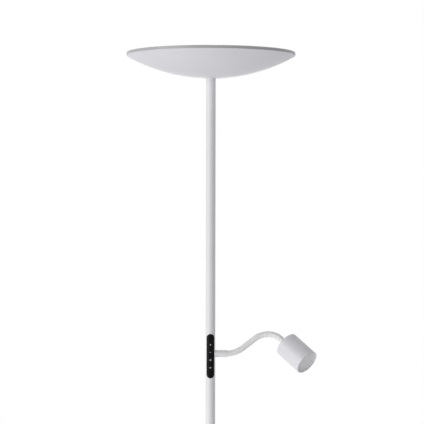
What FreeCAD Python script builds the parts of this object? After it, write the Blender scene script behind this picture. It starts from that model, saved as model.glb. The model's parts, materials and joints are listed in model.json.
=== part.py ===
import FreeCAD, Part
import Sketcher
import math
import os
import re

# Torchiere floor lamp with a reading light on a bendable neck.
# Frame: the origin is on the floor at the pole's axis, +Z is up, the touch panel faces -Y
# and the reading light's arm leaves the pole towards +X. All lengths are millimetres.

# Driving dimensions. Each name has an underscore in it, which is how expressions find it.
SIZES = [
    # Whole lamp
    ("lamp_height", 1760),
    ("fit_gap", 0.05),
    ("hole_gap", 0.2),
    # Foot
    ("base_radius", 128),
    ("cover_wall", 1),
    ("cover_corner", 5),
    ("cover_rise", 14),
    ("skirt_lift", 1.2),
    ("pad_inset", 4),
    ("pad_thick", 2),
    ("weight_gap", 5),
    ("weight_thick", 14),
    ("weight_round", 2),
    ("hub_radius", 20),
    ("hub_rise", 7),
    ("recess_radius", 32),
    ("recess_depth", 8),
    ("groove_width", 10.4),
    ("groove_depth", 11.2),
    ("gland_height", 8),
    ("gland_bore", 3.6),
    ("gland_sleeve", 4.8),
    ("gland_flange", 6.4),
    ("gland_depth", 16),
    ("gland_lip", 2),
    ("connector_width", 14),
    ("connector_length", 12),
    ("connector_place", 17),
    ("terminal_radius", 1),
    ("terminal_depth", 5),
    # Threads and their plugs
    ("thread_radius", 5),
    ("thread_bore", 3.5),
    ("nipple_reach", 22),
    ("washer_radius", 9.5),
    ("washer_thick", 1.5),
    ("nut_corner_radius", 8.1),
    ("nut_thick", 3),
    ("plug_length", 25),
    ("stud_length", 20),
    ("stud_end", 1.5),
    # Pole
    ("pole_radius", 8),
    ("pole_wall", 1.2),
    ("lower_length", 546),
    ("joint_clear", 69.7),
    ("feed_radius", 1.4),
    ("feed_offset", 1.9),
    ("feed_bend", 2.8),
    ("feed_top_bend", 8.4),
    ("feed_floor_gap", 0.05),
    # Touch control
    ("panel_height", 1256.7),
    ("panel_length", 73.5),
    ("panel_width", 12.8),
    ("panel_proud", 0.4),
    ("panel_gap", 0.1),
    ("carrier_length", 84),
    ("carrier_front", 3.6),
    ("carrier_back", 0.3),
    ("carrier_gap", 0.1),
    ("carrier_notch", 13),
    ("notch_start", 0.4),
    ("board_length", 66),
    ("board_side_gap", 0.5),
    ("board_thick", 1),
    ("touch_pitch", 12.66),
    ("touch_radius", 1.6),
    ("touch_end_gap", 0.3),
    # Arm's root
    ("arm_rise", 3.9),
    ("collar_radius", 5.7),
    ("collar_round", 0.5),
    ("collar_bore", 1.3),
    ("arm_stud_radius", 2.5),
    ("arm_stud_start", 3.8),
    ("arm_nut_width", 7),
    ("neck_start", 29),
    # Neck
    ("neck_pitch", 7.89),
    ("neck_rise_angle", 9.35),
    ("neck_drop_angle", 11.9),
    ("neck_side_angle", 6.47),
    ("rib_radius", 5),
    ("rib_width", 1),
    ("valley_radius", 4.3),
    ("pivot_gap", 1),
    ("nose_radius", 3.9),
    ("nose_length", 2.5),
    ("seat_gap", 0.25),
    ("neck_bore", 2.4),
    ("wire_radius", 1),
    ("wire_start", 1.8),
    ("bend_share", 0.45),
    # Reading head
    ("head_radius", 21),
    ("head_length", 51),
    ("head_wall", 1.5),
    ("head_back", 2),
    ("back_round", 1.5),
    ("front_round", 0.7),
    ("ferrule_seat", 3),
    ("ferrule_radius", 5.6),
    ("ferrule_start", 0.4),
    ("stub_length", 1.5),
    ("head_stud_radius", 3),
    ("head_stud_length", 6),
    ("head_nut_corner", 5.5),
    ("head_nut_thick", 2.5),
    ("lamp_drop", 25),
    ("sink_thick", 4),
    ("fin_length", 12),
    ("fin_thick", 1.6),
    ("fin_inner", 7),
    ("fin_count", 10),
    ("lamp_board_gap", 2.95),
    ("lamp_board_thick", 1.6),
    ("lamp_chip_radius", 6.5),
    ("lamp_chip_thick", 1),
    ("lamp_screw_inset", 3.3),
    ("lamp_screw_head", 2),
    ("lamp_screw_head_thick", 1.4),
    ("lamp_screw_radius", 1.25),
    ("lamp_screw_length", 5),
    ("lamp_screw_count", 2),
    ("reflector_wall", 0.8),
    ("reflector_throat", 7.6),
    ("reflector_lip", 1.25),
    ("reflector_rise", 15),
    ("lens_thick", 2),
    ("lens_ring_width", 1.65),
    ("lens_ring_thick", 1.2),
    # Dish
    ("rim_radius", 139.2),
    ("bowl_depth", 36.5),
    ("bowl_wall", 1.2),
    ("bowl_flat", 10),
    ("bead_thick", 1.6),
    ("diffuser_edge", 4.3),
    ("diffuser_lip", 0.7),
    ("diffuser_wall", 2),
    ("diffuser_round", 1.2),
    ("skirt_inset", 8.2),
    ("skirt_wall", 1.8),
    ("skirt_drop", 4),
    ("plate_drop", 8.7),
    ("plate_gap", 21.2),
    ("plate_hole", 8),
    ("plate_thick", 1.5),
    ("post_inset", 18),
    ("post_radius", 4),
    ("post_count", 3),
    ("screw_radius", 2),
    ("screw_length", 8),
    ("screw_head_radius", 3.6),
    ("screw_head_thick", 2.2),
    ("dish_board_inner", 14),
    ("dish_board_inset", 24),
    ("dish_board_thick", 1.2),
    ("chip_length", 3.5),
    ("chip_width", 2.8),
    ("chip_thick", 0.8),
    ("inner_ring_inset", 49),
    ("inner_ring_count", 12),
    ("outer_ring_inset", 14),
    ("outer_ring_count", 24),
    ("driver_length", 60),
    ("driver_width", 36),
    ("driver_thick", 12),
    ("driver_place", 22),
    ("driver_round", 3),
    ("clip_width", 8),
    ("clip_thick", 0.6),
    ("clip_foot", 10),
    ("clip_slope", 4),
    ("clip_leaf", 2.6),
    ("clip_angle", 60),
]

# The neck is a row of equal links. The link after each pivot is turned from the one before it:
# these are the pivots where the neck rises, drops and swings towards the front.
NECK_LINK_COUNT = 14
RISE_PIVOTS = range(0, 4)
DROP_PIVOTS = range(7, 13)
SIDE_PIVOTS = range(8, 14)
LINK_RIB_COUNT = 3

# The touch pads' places either side of the strip's middle, in pitches
TOUCH_PLACES = (-1.5, -0.5, 0.5, 1.5)

# Names for what the modelling calls only number
FIRST_END, LAST_END, CENTRE = range(1, 4)
FULL_TURN_ANGLE = 360
NUT_SIDE_COUNT = 6
SAME = 0.001

# Heights and places that several pieces share, worked out from the driving dimensions
IRON_RADIUS = "(base_radius - cover_wall - weight_gap)"
PAD_RADIUS = f"({IRON_RADIUS} - pad_inset)"
IRON_TOP = "(pad_thick + weight_thick)"
HUB_TOP = f"({IRON_TOP} + hub_rise)"
POLE_START = f"({HUB_TOP} + cover_wall)"
LOWER_JOINT = f"({POLE_START} + lower_length)"
UPPER_JOINT = "(panel_height - carrier_length / 2 - plug_length - joint_clear)"
RECESS_TOP = "(pad_thick + recess_depth)"
NUT_BOTTOM = f"({RECESS_TOP} - washer_thick - nut_thick)"
ARM_HEIGHT = "(panel_height + arm_rise)"
DISH_BOTTOM = "(lamp_height - bowl_depth - bead_thick - diffuser_edge)"
RIM_TOP = f"({DISH_BOTTOM} + bowl_depth + bead_thick)"
POLE_BORE = "(pole_radius - pole_wall)"
PLUG_RADIUS = f"({POLE_BORE} - fit_gap)"
SOCKET_BORE = "(thread_radius + fit_gap)"
HOLE_RADIUS = "(thread_radius + hole_gap)"
BOWL_CENTRE = "((rim_radius^2 + bowl_depth^2 - bowl_flat^2) / (2 * bowl_depth))"
BOWL_INNER = f"(sqrt({BOWL_CENTRE}^2 + bowl_flat^2) - bowl_wall)"
PLATE_BOTTOM = f"({RIM_TOP} - plate_drop)"
PLATE_TOP = f"({PLATE_BOTTOM} + plate_thick)"
PLATE_RADIUS = "(rim_radius - plate_gap)"
POST_PLACE = f"({PLATE_RADIUS} - post_inset)"
SKIRT_RADIUS = "(rim_radius - skirt_inset)"
BOARD_EDGE = f"({PLATE_RADIUS} - dish_board_inset)"
CAN_RADIUS = "(head_radius - head_wall - fit_gap)"
SINK_PLACE = "(head_length - lamp_drop)"
SINK_TOP = f"({SINK_PLACE} + sink_thick)"
LAMP_BOARD_RADIUS = f"({CAN_RADIUS} - lamp_board_gap)"
LAMP_BOARD_TOP = f"({SINK_TOP} + lamp_board_thick)"
LAMP_SCREW_PLACE = f"({LAMP_BOARD_RADIUS} - lamp_screw_inset)"

doc = FreeCAD.newDocument("floor_lamp")
sheet = doc.addObject("Spreadsheet::Sheet", "sizes")
for row, (alias, size) in enumerate(SIZES, start=1):
    sheet.set(f"A{row}", alias.replace("_", " "))
    sheet.set(f"B{row}", str(size))
    sheet.setAlias(f"B{row}", alias)
doc.recompute()

# The finished sub-parts, by the names of their files
parts = {}


def bound(text):
    """The expression with every size read from the sheet."""
    return re.sub(r"[a-z]+(?:_[a-z]+)+", lambda word: "sizes." + word.group(), text)


def number(text):
    """What an expression comes to with the sheet's values."""
    return float(sheet.evalExpression(bound(text)))


def sized(thing, **texts):
    """Bind properties of an object to expressions."""
    for name, text in texts.items():
        thing.setExpression(name, bound(text))
    return thing


def finished(name, thing):
    """Give a finished sub-part the name of its file."""
    thing.Label = name
    parts[name] = thing
    return thing


def origin_part(body, role):
    """One of a body's own origin planes or axes."""
    return [feature for feature in body.Origin.OriginFeatures if feature.Role == role][0]


def axis_frame(point, direction):
    """The placement that takes the local Z axis to a direction, through a point."""
    return FreeCAD.Placement(point, FreeCAD.Rotation(FreeCAD.Vector(0, 0, 1), direction))


# Sketches and the features made from them

def hold(sketch, kind, edge, end, text):
    """Fix one coordinate of a sketch point, measured from the sketch's origin."""
    index = sketch.addConstraint(Sketcher.Constraint(kind, -1, 1, edge, end, number(text)))
    sketch.setExpression(f"Constraints[{index}]", bound(text))


def new_sketch(body, name, role):
    sketch = body.newObject("Sketcher::SketchObject", name)
    sketch.AttachmentSupport = (origin_part(body, role), [""])
    sketch.MapMode = "FlatFace"
    return sketch


def arc_between(start, end, centre_across, turn):
    """An arc between two points about a centre of which one coordinate is given."""
    rise = 2 * (end.y - start.y)
    spread = (end.x - centre_across) ** 2 - (start.x - centre_across) ** 2
    centre = FreeCAD.Vector(centre_across, (spread + end.y ** 2 - start.y ** 2) / rise, 0)
    circle = Part.Circle(centre, FreeCAD.Vector(0, 0, 1), (start - centre).Length)
    angles = [math.atan2(point.y - centre.y, point.x - centre.x) for point in (start, end)]
    if turn == "cw":
        angles.reverse()
    return Part.ArcOfCircle(circle, angles[0], angles[1])


def outline(body, name, role, corners, arcs=None):
    """A closed outline. Corners are pairs of expressions. An edge named in arcs by its first
    corner is an arc, with its centre's first coordinate and its turn, ccw or cw."""
    arcs = arcs or {}
    sketch = new_sketch(body, name, role)
    points = [FreeCAD.Vector(number(across), number(up), 0) for across, up in corners]
    ends = []
    for edge, start in enumerate(points):
        end = points[(edge + 1) % len(points)]
        if edge in arcs:
            centre, turn = arcs[edge]
            sketch.addGeometry(arc_between(start, end, number(centre), turn), False)
            ends.append((FIRST_END, LAST_END) if turn == "ccw" else (LAST_END, FIRST_END))
        else:
            sketch.addGeometry(Part.LineSegment(start, end), False)
            ends.append((FIRST_END, LAST_END))
    for edge in range(len(points)):
        after = (edge + 1) % len(points)
        last = ends[edge][1]
        first = ends[after][0]
        sketch.addConstraint(Sketcher.Constraint("Coincident", edge, last, after, first))
    for edge, (across, up) in enumerate(corners):
        hold(sketch, "DistanceX", edge, ends[edge][0], across)
        hold(sketch, "DistanceY", edge, ends[edge][0], up)
    for edge, (centre, turn) in arcs.items():
        hold(sketch, "DistanceX", edge, CENTRE, centre)
    return sketch


def circle(body, name, role, across, up, radius):
    """A round hole's or shaft's outline."""
    sketch = new_sketch(body, name, role)
    centre = FreeCAD.Vector(number(across), number(up), 0)
    sketch.addGeometry(Part.Circle(centre, FreeCAD.Vector(0, 0, 1), number(radius)), False)
    hold(sketch, "DistanceX", 0, CENTRE, across)
    hold(sketch, "DistanceY", 0, CENTRE, up)
    index = sketch.addConstraint(Sketcher.Constraint("Radius", 0, number(radius)))
    sketch.setExpression(f"Constraints[{index}]", bound(radius))
    return sketch


def slot(body, name, width, low, high):
    """An upright slot with round ends on the body's XZ plane."""
    half = f"({width}) / 2"
    corners = [
        (half, f"{low} + {half}"),
        (half, f"{high} - {half}"),
        (f"-{half}", f"{high} - {half}"),
        (f"-{half}", f"{low} + {half}"),
    ]
    sketch = new_sketch(body, name, "XZ_Plane")
    points = [FreeCAD.Vector(number(across), number(up), 0) for across, up in corners]
    up_axis = FreeCAD.Vector(0, 0, 1)
    radius = number(half)
    top = FreeCAD.Vector(0, points[1].y, 0)
    bottom = FreeCAD.Vector(0, points[0].y, 0)
    sketch.addGeometry(Part.LineSegment(points[0], points[1]), False)
    sketch.addGeometry(Part.ArcOfCircle(Part.Circle(top, up_axis, radius), 0, math.pi), False)
    sketch.addGeometry(Part.LineSegment(points[2], points[3]), False)
    sketch.addGeometry(Part.ArcOfCircle(Part.Circle(bottom, up_axis, radius), math.pi, math.tau), False)
    right, over, left, under = range(len(corners))
    for edge, after in ((right, over), (over, left), (left, under), (under, right)):
        sketch.addConstraint(Sketcher.Constraint("Coincident", edge, LAST_END, after, FIRST_END))
    for edge, (across, up) in enumerate(corners):
        hold(sketch, "DistanceX", edge, FIRST_END, across)
        hold(sketch, "DistanceY", edge, FIRST_END, up)
    hold(sketch, "DistanceY", over, CENTRE, f"{high} - {half}")
    hold(sketch, "DistanceY", under, CENTRE, f"{low} + {half}")
    return sketch


def turned(name, corners, arcs=None):
    """A piece turned about Z from an outline of radii and heights."""
    body = doc.addObject("PartDesign::Body", name)
    sketch = outline(body, f"{name}_outline", "XZ_Plane", corners, arcs)
    turn = body.newObject("PartDesign::Revolution", f"{name}_turn")
    turn.Profile = sketch
    turn.ReferenceAxis = (sketch, ["V_Axis"])
    turn.Angle = FULL_TURN_ANGLE
    doc.recompute()
    return finished(name, body)


def tube(name, outer, inner, low, high):
    return turned(name, [(inner, low), (outer, low), (outer, high), (inner, high)])


def padded(body, name, sketch, length, reverse=False):
    """A sketch raised to a solid."""
    pad = body.newObject("PartDesign::Pad", name)
    pad.Profile = sketch
    pad.Reversed = reverse
    return sized(pad, Length=length)


def cut_away(body, name, sketch, depth, reverse=False):
    """A sketch cut from the solid: the cut has to take something away."""
    doc.recompute()
    before = body.Shape.Volume
    pocket = body.newObject("PartDesign::Pocket", name)
    pocket.Profile = sketch
    pocket.Reversed = reverse
    sized(pocket, Length=depth)
    doc.recompute()
    if body.Shape.Volume > before - SAME:
        raise RuntimeError(f"{name} cuts nothing away")
    return pocket


def repeated(body, name, feature, count):
    """A feature repeated evenly round the body's Z axis."""
    pattern = body.newObject("PartDesign::PolarPattern", name)
    pattern.Originals = [feature]
    pattern.Axis = (origin_part(body, "Z_Axis"), [""])
    pattern.Angle = FULL_TURN_ANGLE
    sized(pattern, Occurrences=count)
    body.Tip = pattern
    doc.recompute()
    return pattern


def rounded(body, rims, radius):
    """Round the circular edges about Z that have these radii and heights."""
    solid = body.Tip
    names = []
    for across, up in rims:
        for index, edge in enumerate(solid.Shape.Edges, start=1):
            curve = edge.Curve
            if not isinstance(curve, Part.Circle) or math.hypot(curve.Center.x, curve.Center.y) > SAME:
                continue
            if abs(curve.Radius - number(across)) < SAME and abs(curve.Center.z - number(up)) < SAME:
                names.append(f"Edge{index}")
    fillet = body.newObject("PartDesign::Fillet", f"{body.Name}_round_{len(names)}")
    fillet.Base = (solid, names)
    sized(fillet, Radius=radius)
    doc.recompute()
    return fillet


# Primitives and booleans

def cylinder(name, radius, height, base="0"):
    """An upright cylinder on the lamp's axis."""
    thing = doc.addObject("Part::Cylinder", name)
    sized(thing, Radius=radius, Height=height)
    thing.setExpression("Placement.Base.z", bound(base))
    return thing


def box(name, low, high):
    """A box between two corners, each three expressions."""
    thing = doc.addObject("Part::Box", name)
    for side, axis, start, end in zip(("Length", "Width", "Height"), "xyz", low, high):
        thing.setExpression(side, bound(f"({end}) - ({start})"))
        thing.setExpression(f"Placement.Base.{axis}", bound(start))
    return thing


def joined(kind, name, base, tool):
    """A boolean of two objects: Part::Cut, Part::Fuse or Part::Common."""
    thing = doc.addObject(kind, name)
    thing.Base = base
    thing.Tool = tool
    doc.recompute()
    return thing


def hex_nut(name, corner_radius, thick, bore, base):
    """A six-sided nut on the local Z axis."""
    prism = doc.addObject("Part::Prism", f"{name}_block")
    prism.Polygon = NUT_SIDE_COUNT
    sized(prism, Circumradius=corner_radius, Height=thick)
    prism.setExpression("Placement.Base.z", bound(base))
    hole = cylinder(f"{name}_hole", bore, thick, base)
    return finished(name, joined("Part::Cut", name, prism, hole))


# Foot: a cast iron disc under a pressed steel cover, on a soft pad

def foot():
    pad = turned("base_pad", [("0", "0"), (PAD_RADIUS, "0"), (PAD_RADIUS, "pad_thick"), ("0", "pad_thick")])
    rounded(pad, [(PAD_RADIUS, "0")], "pad_thick / 4")
    weight = turned("base_weight", [
        (HOLE_RADIUS, RECESS_TOP),
        ("recess_radius", RECESS_TOP),
        ("recess_radius", "pad_thick"),
        (IRON_RADIUS, "pad_thick"),
        (IRON_RADIUS, IRON_TOP),
        ("hub_radius", IRON_TOP),
        ("hub_radius", HUB_TOP),
        (HOLE_RADIUS, HUB_TOP),
    ])
    rounded(weight, [(IRON_RADIUS, IRON_TOP)], "weight_round")
    groove = outline(weight, "lead_groove_outline", "XY_Plane", [
        ("-groove_width / 2", "0"),
        ("groove_width / 2", "0"),
        ("groove_width / 2", f"{IRON_RADIUS} + weight_round"),
        ("-groove_width / 2", f"{IRON_RADIUS} + weight_round"),
    ])
    cut_away(weight, "lead_groove", groove, "pad_thick + groove_depth", reverse=True)
    cover = turned("base_cover", [
        ("base_radius", "skirt_lift"),
        ("base_radius", "cover_rise"),
        ("base_radius - cover_corner", "cover_rise + cover_corner"),
        ("hub_radius", POLE_START),
        (HOLE_RADIUS, POLE_START),
        (HOLE_RADIUS, HUB_TOP),
        ("hub_radius", HUB_TOP),
        ("base_radius - cover_corner", "cover_rise + cover_corner - cover_wall"),
        ("base_radius - cover_wall", "cover_rise"),
        ("base_radius - cover_wall", "skirt_lift"),
    ], arcs={1: ("base_radius - cover_corner", "ccw"), 7: ("base_radius - cover_corner", "cw")})
    inlet = circle(cover, "inlet_outline", "XZ_Plane", "0", "gland_height", "gland_sleeve + fit_gap")
    cut_away(cover, "inlet_hole", inlet, "base_radius + cover_wall")
    gland = turned("cord_gland", [
        ("gland_bore", "0"),
        ("gland_sleeve", "0"),
        ("gland_sleeve", "gland_depth"),
        ("gland_flange", "gland_depth"),
        ("gland_flange", "gland_depth + gland_lip"),
        ("gland_bore", "gland_depth + gland_lip"),
    ])
    rounded(gland, [("gland_flange", "gland_depth + gland_lip")], "gland_lip / 2")
    gland_base = FreeCAD.Vector(0, number("base_radius - gland_depth"), number("gland_height"))
    gland.Placement = axis_frame(gland_base, FreeCAD.Vector(0, 1, 0))
    supply_connector()
    tube("base_nipple", "thread_radius", "thread_bore", NUT_BOTTOM, f"{POLE_START} + nipple_reach")
    tube("base_washer", "washer_radius", HOLE_RADIUS, f"{RECESS_TOP} - washer_thick", RECESS_TOP)
    hex_nut("base_nut", "nut_corner_radius", "nut_thick", SOCKET_BORE, NUT_BOTTOM)


def supply_connector():
    """The block in the foot's recess where the feed lead starts."""
    low = ("-connector_width / 2", "connector_place", "pad_thick + feed_floor_gap")
    high = ("connector_width / 2", "connector_place + connector_length", RECESS_TOP)
    block = box("connector_block", low, high)
    for side in ("-", ""):
        hole = doc.addObject("Part::Cylinder", "terminal")
        sized(hole, Radius="terminal_radius", Height="terminal_depth")
        hole.Placement = axis_frame(FreeCAD.Vector(0, 0, 0), FreeCAD.Vector(0, -1, 0))
        hole.setExpression("Placement.Base.x", bound(f"{side}connector_width / 4"))
        hole.setExpression("Placement.Base.y", bound("connector_place + connector_length"))
        hole.setExpression("Placement.Base.z", bound(f"({RECESS_TOP} + pad_thick) / 2"))
        block = joined("Part::Cut", "connector_cut", block, hole)
    finished("supply_connector", block)


# Pole: three steel tubes screwed together by plugs inside them

def pole():
    socket_end = f"{POLE_START} + plug_length"
    tube("pole_foot", PLUG_RADIUS, SOCKET_BORE, POLE_START, socket_end)
    tube("pole_lower", "pole_radius", POLE_BORE, POLE_START, LOWER_JOINT)
    tube("pole_middle", "pole_radius", POLE_BORE, LOWER_JOINT, UPPER_JOINT)
    for place, level in (("lower", LOWER_JOINT), ("upper", UPPER_JOINT)):
        plug_and_stud(f"{place}_joint_stud", level, "stud_length")
        tube(f"{place}_joint_socket", PLUG_RADIUS, SOCKET_BORE, level, f"{level} + plug_length")
    upper = tube("pole_upper", "pole_radius", POLE_BORE, UPPER_JOINT, DISH_BOTTOM)
    window = slot(upper, "window_outline", "panel_width", *panel_ends())
    cut_away(upper, "panel_window", window, "pole_radius + pole_wall", reverse=True)
    entry = circle(upper, "arm_hole_outline", "YZ_Plane", "0", ARM_HEIGHT, "arm_stud_radius + fit_gap")
    cut_away(upper, "arm_hole", entry, "pole_radius + pole_wall", reverse=True)
    plug_and_stud("pole_head_stud", DISH_BOTTOM, "bowl_wall + washer_thick + nut_thick + stud_end")


def plug_and_stud(name, level, reach):
    """A plug in a tube's upper end, with a hollow threaded stud that stands out of it."""
    turned(name, [
        ("thread_bore", f"{level} - plug_length"),
        (PLUG_RADIUS, f"{level} - plug_length"),
        (PLUG_RADIUS, level),
        ("thread_radius", level),
        ("thread_radius", f"{level} + {reach}"),
        ("thread_bore", f"{level} + {reach}"),
    ])


def panel_ends():
    return "panel_height - panel_length / 2", "panel_height + panel_length / 2"


# Leads: round tubes along straight runs joined by tangent arcs

def lead(name, points, bends, radius):
    """A lead through points, with one bend radius for each point between the ends."""
    path = []
    last = points[0]
    for before, corner, after, bend in zip(points, points[1:], points[2:], bends):
        back = (before - corner).normalize()
        ahead = (after - corner).normalize()
        turn = math.pi - back.getAngle(ahead)
        reach = bend * math.tan(turn / 2)
        inward = (back + ahead).normalize()
        middle = corner + inward * (bend / math.cos(turn / 2) - bend)
        start = corner + back * reach
        end = corner + ahead * reach
        path.append(Part.LineSegment(last, start).toShape())
        path.append(Part.Arc(start, middle, end).toShape())
        last = end
    path.append(Part.LineSegment(last, points[-1]).toShape())
    wire = Part.Wire(path)
    section = Part.Circle(points[0], points[1] - points[0], radius).toShape()
    solid = wire.makePipeShell([Part.Wire([section])], True, False)
    expected = math.pi * radius ** 2 * wire.Length
    print(f"{name}: length {wire.Length:.1f}, bends {min(bends):.1f} to {max(bends):.1f}, "
          f"volume {solid.Volume / expected:.4f} of section times length")
    thing = doc.addObject("Part::Feature", name)
    thing.Shape = solid
    return finished(name, thing)


def feed_lead():
    """The lead from the foot's connector up the pole to the driver in the dish."""
    offset = number("feed_offset")
    floor_run = number("pad_thick + feed_floor_gap + feed_radius")
    top_run = number(f"{PLATE_BOTTOM} - driver_thick / 2")
    points = [
        FreeCAD.Vector(0, number("connector_place"), floor_run),
        FreeCAD.Vector(0, offset, floor_run),
        FreeCAD.Vector(0, offset, top_run),
        FreeCAD.Vector(number("driver_place"), offset, top_run),
    ]
    lead("feed_lead", points, [number("feed_bend"), number("feed_top_bend")], number("feed_radius"))


# Touch control: a glossy strip in the pole's window, with its board and springs behind

def touch_control():
    skin = cylinder("panel_skin", "pole_radius + panel_proud", "panel_length + panel_width",
                    "panel_height - (panel_length + panel_width) / 2")
    hollow = cylinder("panel_hollow", POLE_BORE, "panel_length + panel_width",
                      "panel_height - (panel_length + panel_width) / 2")
    shell = joined("Part::Cut", "panel_shell", skin, hollow)
    form = doc.addObject("PartDesign::Body", "panel_form")
    low, high = panel_ends()
    width = "panel_width - 2 * panel_gap"
    window = slot(form, "panel_outline", width, f"{low} + panel_gap", f"{high} - panel_gap")
    padded(form, "panel_prism", window, "pole_radius + pole_wall")
    doc.recompute()
    finished("touch_cover", joined("Part::Common", "touch_cover", shell, form))
    length = "carrier_length"
    base = "panel_height - carrier_length / 2"
    core = cylinder("carrier_core", f"{POLE_BORE} - carrier_gap", length, base)
    slab = box("carrier_slab", ("-pole_radius", "-carrier_front", base),
               ("pole_radius", "-carrier_back", f"{base} + {length}"))
    carrier = joined("Part::Common", "carrier_block", core, slab)
    notch = box("carrier_notch_block", ("notch_start", "-pole_radius", f"{ARM_HEIGHT} - carrier_notch / 2"),
                ("pole_radius", "pole_radius", f"{ARM_HEIGHT} + carrier_notch / 2"))
    finished("control_carrier", joined("Part::Cut", "control_carrier", carrier, notch))
    board_low = "panel_height - board_length / 2"
    side = f"(sqrt({POLE_BORE}^2 - (carrier_front + board_thick)^2) - board_side_gap)"
    finished("control_board", box("control_board", (f"-{side}", "-carrier_front - board_thick", board_low),
                                  (side, "-carrier_front", f"{board_low} + board_length")))
    pads = []
    for place in TOUCH_PLACES:
        pad = doc.addObject("Part::Cylinder", "touch_pad")
        reach = f"sqrt({POLE_BORE}^2 - touch_radius^2) - carrier_front - board_thick - touch_end_gap"
        sized(pad, Radius="touch_radius", Height=reach)
        pad.Placement = axis_frame(FreeCAD.Vector(0, 0, 0), FreeCAD.Vector(0, -1, 0))
        pad.setExpression("Placement.Base.y", bound("-carrier_front - board_thick"))
        pad.setExpression("Placement.Base.z", bound(f"panel_height + {place} * touch_pitch"))
        pads.append(pad)
    group = doc.addObject("Part::Compound", "touch_pads")
    group.Links = pads
    finished("touch_pads", group)


# Arm: a collar on the pole's side, held by a nut inside the tube

def arm_root():
    outer = cylinder("arm_nut_core", f"{POLE_BORE} - fit_gap", "arm_nut_width",
                     f"{ARM_HEIGHT} - arm_nut_width / 2")
    half = "arm_nut_width / 2"
    slab = box("arm_nut_slab", ("arm_stud_start", f"-{half}", f"{ARM_HEIGHT} - {half}"),
               ("pole_radius", half, f"{ARM_HEIGHT} + {half}"))
    block = joined("Part::Common", "arm_nut_block", outer, slab)
    thread = doc.addObject("Part::Cylinder", "arm_nut_thread")
    sized(thread, Radius="arm_stud_radius + fit_gap", Height="pole_radius")
    thread.Placement = axis_frame(FreeCAD.Vector(0, 0, 0), FreeCAD.Vector(1, 0, 0))
    thread.setExpression("Placement.Base.z", bound(ARM_HEIGHT))
    finished("arm_nut", joined("Part::Cut", "arm_nut", block, thread))
    arm_collar()


def arm_collar():
    """The collar and its stud. Heights in the outline are distances from the pole's axis."""
    face = "neck_start - pivot_gap"
    body = turned("collar_turning", [
        ("collar_bore", "pole_radius / 2"),
        ("collar_radius", "pole_radius / 2"),
        ("collar_radius", face),
        ("sqrt(nose_radius^2 - pivot_gap^2)", face),
        ("sqrt(nose_radius^2 - nose_length^2)", "neck_start + nose_length"),
        ("neck_bore", "neck_start + nose_length"),
        ("neck_bore", "neck_start - collar_radius"),
        ("collar_bore", "neck_start - collar_radius"),
    ], arcs={3: ("0", "ccw")})
    rounded(body, [("collar_radius", face)], "collar_round")
    stud = turned("collar_stud", [
        ("collar_bore", "arm_stud_start"),
        ("arm_stud_radius", "arm_stud_start"),
        ("arm_stud_radius", "pole_radius + collar_radius"),
        ("collar_bore", "pole_radius + collar_radius"),
    ])
    for piece in (body, stud):
        del parts[piece.Label]
        piece.Placement = axis_frame(FreeCAD.Vector(0, 0, number(ARM_HEIGHT)), FreeCAD.Vector(1, 0, 0))
    low = f"{ARM_HEIGHT} - 2 * collar_radius"
    high = f"{ARM_HEIGHT} + 2 * collar_radius"
    saddle = cylinder("saddle", "pole_radius + fit_gap", "4 * collar_radius", low)
    relief = box("panel_relief", ("0", "-2 * pole_radius", low),
                 ("panel_width / 2 + hole_gap", "-pole_radius / 2", high))
    sleeve = joined("Part::Cut", "collar_sleeve", joined("Part::Cut", "collar_bed", body, saddle), relief)
    finished("arm_collar", joined("Part::Fuse", "arm_collar", sleeve, stud))


# Neck: short ribbed links, each with a ball that turns in the next one's seat

def neck_line():
    """Each pivot's place and each link's direction, from the collar to the head."""
    rise = 0
    side = 0
    place = FreeCAD.Vector(number("neck_start"), 0, number(ARM_HEIGHT))
    pivots = [place]
    directions = []
    for pivot in range(NECK_LINK_COUNT):
        rise += number("neck_rise_angle") * (pivot in RISE_PIVOTS)
        rise -= number("neck_drop_angle") * (pivot in DROP_PIVOTS)
        side += number("neck_side_angle") * (pivot in SIDE_PIVOTS)
        up = math.radians(rise)
        across = math.radians(side)
        flat = FreeCAD.Vector(math.cos(across), -math.sin(across), 0)
        direction = flat * math.cos(up) + FreeCAD.Vector(0, 0, math.sin(up))
        place = place + direction * number("neck_pitch")
        directions.append(direction)
        pivots.append(place)
    return pivots, directions


def neck_link(name, last=False):
    """One link, its first pivot at the origin and its second a pitch up the Z axis."""
    seat = "(nose_radius + seat_gap)"
    shoulder = "(rib_radius - rib_width / 2)"
    step = f"((neck_pitch - 2 * pivot_gap - rib_width) / {LINK_RIB_COUNT - 1})"
    corners = [
        ("neck_bore", f"sqrt({seat}^2 - neck_bore^2)"),
        (f"sqrt({seat}^2 - pivot_gap^2)", "pivot_gap"),
    ]
    arcs = {0: ("0", "cw")}
    for rib in range(LINK_RIB_COUNT):
        low = f"pivot_gap + {rib} * {step}"
        if rib:
            corners.append(("valley_radius", low))
        arcs[len(corners)] = (shoulder, "ccw")
        corners.append((shoulder, low))
        corners.append((shoulder, f"{low} + rib_width"))
        if rib < LINK_RIB_COUNT - 1:
            corners.append(("valley_radius", f"{low} + rib_width"))
    end = "neck_pitch - pivot_gap"
    if last:
        corners.append(("nose_radius", end))
        corners.append(("nose_radius", "neck_pitch + stub_length"))
        corners.append(("neck_bore", "neck_pitch + stub_length"))
    else:
        arcs[len(corners)] = ("0", "ccw")
        corners.append(("sqrt(nose_radius^2 - pivot_gap^2)", end))
        corners.append(("sqrt(nose_radius^2 - nose_length^2)", "neck_pitch + nose_length"))
        corners.append(("neck_bore", "neck_pitch + nose_length"))
    return turned(name, corners, arcs)


def neck():
    pivots, directions = neck_line()
    for index in range(NECK_LINK_COUNT):
        link = neck_link(f"neck_link_{index + 1:02d}", last=index == NECK_LINK_COUNT - 1)
        link.Placement = axis_frame(pivots[index], directions[index])


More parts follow.
